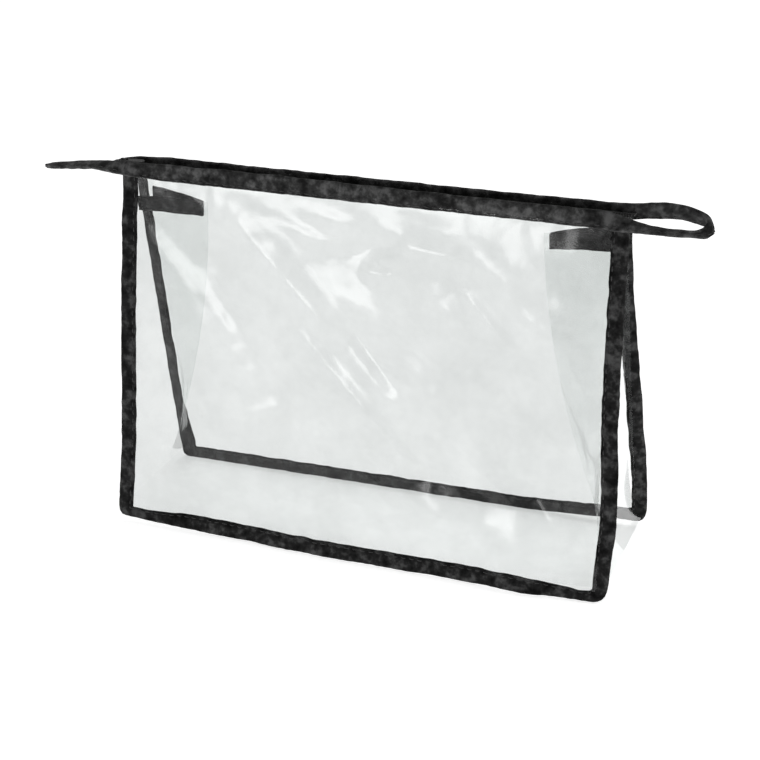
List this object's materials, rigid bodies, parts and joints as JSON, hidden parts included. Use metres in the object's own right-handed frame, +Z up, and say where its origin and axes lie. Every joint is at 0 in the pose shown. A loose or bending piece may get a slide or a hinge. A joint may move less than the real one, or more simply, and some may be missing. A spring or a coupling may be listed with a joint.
{
  "type": "zip-top clear cosmetic bag",
  "caption": "Clear film cosmetic bag with a flat base, inward-folding side gussets, dark folded-tape bindings and a zip top whose tape ends form loops past both sides",
  "frame": {"origin": "middle of the footprint, on the surface that the two bottom seams stand on", "axes": "X runs along the width, -Y is the front, +Z is up"},
  "size_m": [0.3332, 0.0796, 0.1836],
  "materials": {
    "clear_film": "clear flexible vinyl film, glossy, lightly creased",
    "binding_tape": "matt black non-woven binding tape, folded over the edge and stitched",
    "zip_tape": "black woven zip tape",
    "zip_coil": "black moulded nylon coil",
    "slider": "black enamelled die-cast metal"
  },
  "bodies": {
    "base": {"base_film": "clear_film"},
    "front_wall": {"front_panel": "clear_film", "front_seam_binding": "binding_tape", "front_top_binding": "binding_tape", "front_zip_tape": "zip_tape", "front_zip_coil": "zip_coil"},
    "back_wall": {"back_panel": "clear_film", "back_seam_binding": "binding_tape", "back_top_binding": "binding_tape", "back_zip_tape": "zip_tape", "back_zip_coil": "zip_coil"},
    "slider": {"zip_slider": "slider"},
    "pull": {"zip_pull_tab": "slider"},
    "left_gusset": {"left_gusset_lower": "clear_film"},
    "left_front_gusset": {"left_front_gusset_upper": "clear_film", "left_front_gusset_tab": "binding_tape"},
    "left_front_loop": {"left_front_loop_strand": "binding_tape"},
    "left_back_gusset": {"left_back_gusset_upper": "clear_film", "left_back_gusset_tab": "binding_tape"},
    "left_back_loop": {"left_back_loop_strand": "binding_tape"},
    "right_gusset": {"right_gusset_lower": "clear_film"},
    "right_front_gusset": {"right_front_gusset_upper": "clear_film", "right_front_gusset_tab": "binding_tape"},
    "right_front_loop": {"right_front_loop_strand": "binding_tape"},
    "right_back_gusset": {"right_back_gusset_upper": "clear_film", "right_back_gusset_tab": "binding_tape"},
    "right_back_loop": {"right_back_loop_strand": "binding_tape"}
  },
  "joints": [
    {"name": "zip_slide", "type": "slide", "parent": "base", "child": "slider", "axis": [1, 0, 0], "range_m": [0, 0.27]},
    {"name": "pull_hinge", "type": "hinge", "parent": "slider", "child": "pull", "pos_m": [-0.131, 0, 0.18255], "axis": [0, -1, 0], "range_deg": [0, 150]},
    {"name": "front_wall_hinge", "type": "hinge", "parent": "base", "child": "front_wall", "pos_m": [0, -0.0375, 0.0074], "axis": [1, 0, 0], "range_deg": [0, 7.11]},
    {"name": "back_wall_hinge", "type": "hinge", "parent": "base", "child": "back_wall", "pos_m": [0, 0.0375, 0.0074], "axis": [-1, 0, 0], "range_deg": [0, 7.11]},
    {"name": "left_gusset_hinge", "type": "hinge", "parent": "base", "child": "left_gusset", "pos_m": [-0.12, 0, 0.00696], "axis": [0, -1, 0], "range_deg": [0, 3.88]},
    {"name": "left_front_gusset_hinge", "type": "hinge", "parent": "left_gusset", "child": "left_front_gusset", "pos_m": [-0.12, -0.03504, 0.00696], "axis": [0.2214, 0.2068, 0.953], "range_deg": [0, 38.99]},
    {"name": "left_front_loop_hinge", "type": "hinge", "parent": "front_wall", "child": "left_front_loop", "pos_m": [-0.1286, -0.00671, 0.17936], "axis": [0, -0.1763, -0.9843], "range_deg": [0, 28.95]},
    {"name": "left_back_gusset_hinge", "type": "hinge", "parent": "left_gusset", "child": "left_back_gusset", "pos_m": [-0.12, 0.03504, 0.00696], "axis": [-0.2214, 0.2068, -0.953], "range_deg": [0, 38.99]},
    {"name": "left_back_loop_hinge", "type": "hinge", "parent": "back_wall", "child": "left_back_loop", "pos_m": [-0.1286, 0.00671, 0.17936], "axis": [0, -0.1763, 0.9843], "range_deg": [0, 28.95]},
    {"name": "right_gusset_hinge", "type": "hinge", "parent": "base", "child": "right_gusset", "pos_m": [0.12, 0, 0.00696], "axis": [0, 1, 0], "range_deg": [0, 3.88]},
    {"name": "right_front_gusset_hinge", "type": "hinge", "parent": "right_gusset", "child": "right_front_gusset", "pos_m": [0.12, -0.03504, 0.00696], "axis": [0.2214, -0.2068, -0.953], "range_deg": [0, 38.99]},
    {"name": "right_front_loop_hinge", "type": "hinge", "parent": "front_wall", "child": "right_front_loop", "pos_m": [0.1286, -0.00671, 0.17936], "axis": [0, 0.1763, 0.9843], "range_deg": [0, 37.87]},
    {"name": "right_back_gusset_hinge", "type": "hinge", "parent": "right_gusset", "child": "right_back_gusset", "pos_m": [0.12, 0.03504, 0.00696], "axis": [-0.2214, -0.2068, 0.953], "range_deg": [0, 38.99]},
    {"name": "right_back_loop_hinge", "type": "hinge", "parent": "back_wall", "child": "right_back_loop", "pos_m": [0.1286, 0.00671, 0.17936], "axis": [0, 0.1763, -0.9843], "range_deg": [0, 37.87]}
  ],
  "couplings": [
    {"joint": "front_wall_hinge", "follows": "zip_slide", "rad_per_m": 0.45925},
    {"joint": "back_wall_hinge", "follows": "zip_slide", "rad_per_m": 0.45925},
    {"joint": "left_gusset_hinge", "follows": "zip_slide", "rad_per_m": 0.25058},
    {"joint": "left_front_gusset_hinge", "follows": "zip_slide", "rad_per_m": 2.5204},
    {"joint": "left_front_loop_hinge", "follows": "zip_slide", "rad_per_m": 1.8713},
    {"joint": "left_back_gusset_hinge", "follows": "zip_slide", "rad_per_m": 2.5204},
    {"joint": "left_back_loop_hinge", "follows": "zip_slide", "rad_per_m": 1.8713},
    {"joint": "right_gusset_hinge", "follows": "zip_slide", "rad_per_m": 0.25058},
    {"joint": "right_front_gusset_hinge", "follows": "zip_slide", "rad_per_m": 2.5204},
    {"joint": "right_front_loop_hinge", "follows": "zip_slide", "rad_per_m": 2.4476},
    {"joint": "right_back_gusset_hinge", "follows": "zip_slide", "rad_per_m": 2.5204},
    {"joint": "right_back_loop_hinge", "follows": "zip_slide", "rad_per_m": 2.4476}
  ]
}
